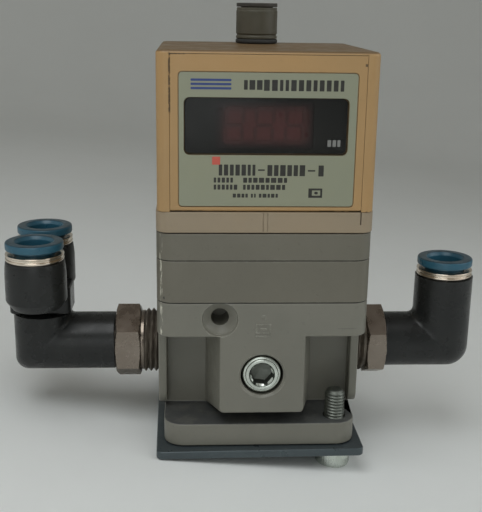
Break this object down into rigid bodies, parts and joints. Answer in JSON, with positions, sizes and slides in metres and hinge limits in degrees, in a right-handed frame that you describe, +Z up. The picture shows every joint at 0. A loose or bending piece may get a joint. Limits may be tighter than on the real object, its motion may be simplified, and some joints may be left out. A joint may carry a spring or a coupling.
{
  "type": "air pressure regulator",
  "caption": "Square-bodied electronic air pressure regulator with a display flap, a swivelling twin elbow and a single elbow for tubes, and a base plate.",
  "frame": {"origin": "underside of the base plate, on the upright axis of the valve", "axes": "+X from the supply port to the outlet port, the display faces -Y, +Z up"},
  "size_m": [0.1198, 0.0516, 0.1119],
  "materials": {
    "painted_casting": "satin grey paint",
    "grey_casting": "satin grey paint",
    "beige_plastic": "fine-grained beige plastic",
    "grey_beige_plastic": "fine-grained grey-beige plastic",
    "label_film": "matt printed film",
    "smoked_window": "smoked clear plastic",
    "black_plastic": "semi-matt moulded plastic",
    "blue_plastic": "semi-matt moulded plastic",
    "plated_brass": "nickel plated",
    "zinc_steel": "zinc plated",
    "blackened_steel": "black oxide",
    "black_rubber": "matt",
    "circuit_board": "solder resist",
    "grey_key": "matt",
    "solenoid_case": "moulded",
    "olive_connector": "dull olive plating"
  },
  "bodies": {
    "root": {"base_plate": "blackened_steel", "plate_screw": "zinc_steel", "main_body": "painted_casting", "gauge_plug": "zinc_steel", "valve_guide": "plated_brass", "poppet_spring": "zinc_steel", "diaphragm": "black_rubber", "diaphragm_housing": "grey_casting", "pilot_gasket": "black_rubber", "pilot_block": "grey_casting", "tie_screw_1": "zinc_steel", "tie_screw_2": "zinc_steel", "tie_screw_3": "zinc_steel", "tie_screw_4": "zinc_steel", "supply_solenoid": "solenoid_case", "exhaust_solenoid": "solenoid_case", "pressure_sensor": "black_plastic", "cover_base": "grey_beige_plastic", "cover_shell": "beige_plastic", "led_display": "black_plastic", "display_board": "circuit_board", "board_header": "black_plastic", "control_board": "circuit_board", "connector_seal": "black_rubber", "signal_connector": "olive_connector", "connector_insert": "black_plastic", "connector_pin_1": "plated_brass", "connector_pin_2": "plated_brass", "connector_pin_3": "plated_brass", "connector_pin_4": "plated_brass", "connector_nut": "plated_brass", "left_stud": "plated_brass", "left_swivel_seal": "black_rubber", "right_stud": "plated_brass", "right_swivel_seal": "black_rubber"},
    "flap": {"front_flap": "beige_plastic", "front_label": "label_film", "display_window": "smoked_window"},
    "down_button": {"down_key": "grey_key"},
    "set_button": {"set_key": "grey_key"},
    "up_button": {"up_key": "grey_key"},
    "diaphragm_piston": {"diaphragm_plate": "zinc_steel", "valve_rod": "zinc_steel"},
    "poppet": {"supply_poppet": "plated_brass"},
    "supply_plunger": {"supply_armature": "zinc_steel"},
    "exhaust_plunger": {"exhaust_armature": "zinc_steel"},
    "left_elbow": {"left_elbow_body": "black_plastic", "left_branch_block": "black_plastic", "left_front_ring": "plated_brass", "left_rear_ring": "plated_brass"},
    "left_front_release": {"left_front_collet": "blue_plastic"},
    "left_rear_release": {"left_rear_collet": "blue_plastic"},
    "right_elbow": {"right_elbow_body": "black_plastic", "right_ring": "plated_brass"},
    "right_release": {"right_collet": "blue_plastic"}
  },
  "joints": [
    {"name": "flap_hinge", "type": "hinge", "parent": "root", "child": "flap", "pos_m": [0, -0.024, 0.0623], "axis": [1, 0, 0], "range_deg": [0, 90]},
    {"name": "down_press", "type": "slide", "parent": "root", "child": "down_button", "axis": [0, 1, 0], "range_m": [0, 0.0005], "stiffness_N_per_m": 800},
    {"name": "set_press", "type": "slide", "parent": "root", "child": "set_button", "axis": [0, 1, 0], "range_m": [0, 0.0005], "stiffness_N_per_m": 800},
    {"name": "up_press", "type": "slide", "parent": "root", "child": "up_button", "axis": [0, 1, 0], "range_m": [0, 0.0005], "stiffness_N_per_m": 800},
    {"name": "diaphragm_slide", "type": "slide", "parent": "root", "child": "diaphragm_piston", "axis": [0, 0, -1], "range_m": [0, 0.0012], "stiffness_N_per_m": 1500, "springref_m": -0.001},
    {"name": "poppet_slide", "type": "slide", "parent": "root", "child": "poppet", "axis": [0, 0, -1], "range_m": [0, 0.0012], "deforming": ["poppet_spring"]},
    {"name": "supply_pull", "type": "slide", "parent": "root", "child": "supply_plunger", "axis": [0, 0, 1], "range_m": [0, 0.0004], "stiffness_N_per_m": 200, "springref_m": -0.002},
    {"name": "exhaust_pull", "type": "slide", "parent": "root", "child": "exhaust_plunger", "axis": [0, 0, 1], "range_m": [0, 0.0004], "stiffness_N_per_m": 200, "springref_m": -0.002},
    {"name": "left_swivel", "type": "hinge", "parent": "root", "child": "left_elbow", "pos_m": [-0.0362, 0, 0.02115], "axis": [1, 0, 0], "continuous": true},
    {"name": "left_front_push", "type": "slide", "parent": "left_elbow", "child": "left_front_release", "axis": [0, 0, -1], "range_m": [0, 0.0007], "stiffness_N_per_m": 400},
    {"name": "left_rear_push", "type": "slide", "parent": "left_elbow", "child": "left_rear_release", "axis": [0, 0, -1], "range_m": [0, 0.0007], "stiffness_N_per_m": 400},
    {"name": "right_swivel", "type": "hinge", "parent": "root", "child": "right_elbow", "pos_m": [0.0336, 0, 0.02115], "axis": [1, 0, 0], "continuous": true},
    {"name": "right_push", "type": "slide", "parent": "right_elbow", "child": "right_release", "axis": [0, 0, -1], "range_m": [0, 0.0007], "stiffness_N_per_m": 400}
  ],
  "couplings": [
    {"joint": "poppet_slide", "follows": "diaphragm_slide", "ratio": 1}
  ]
}
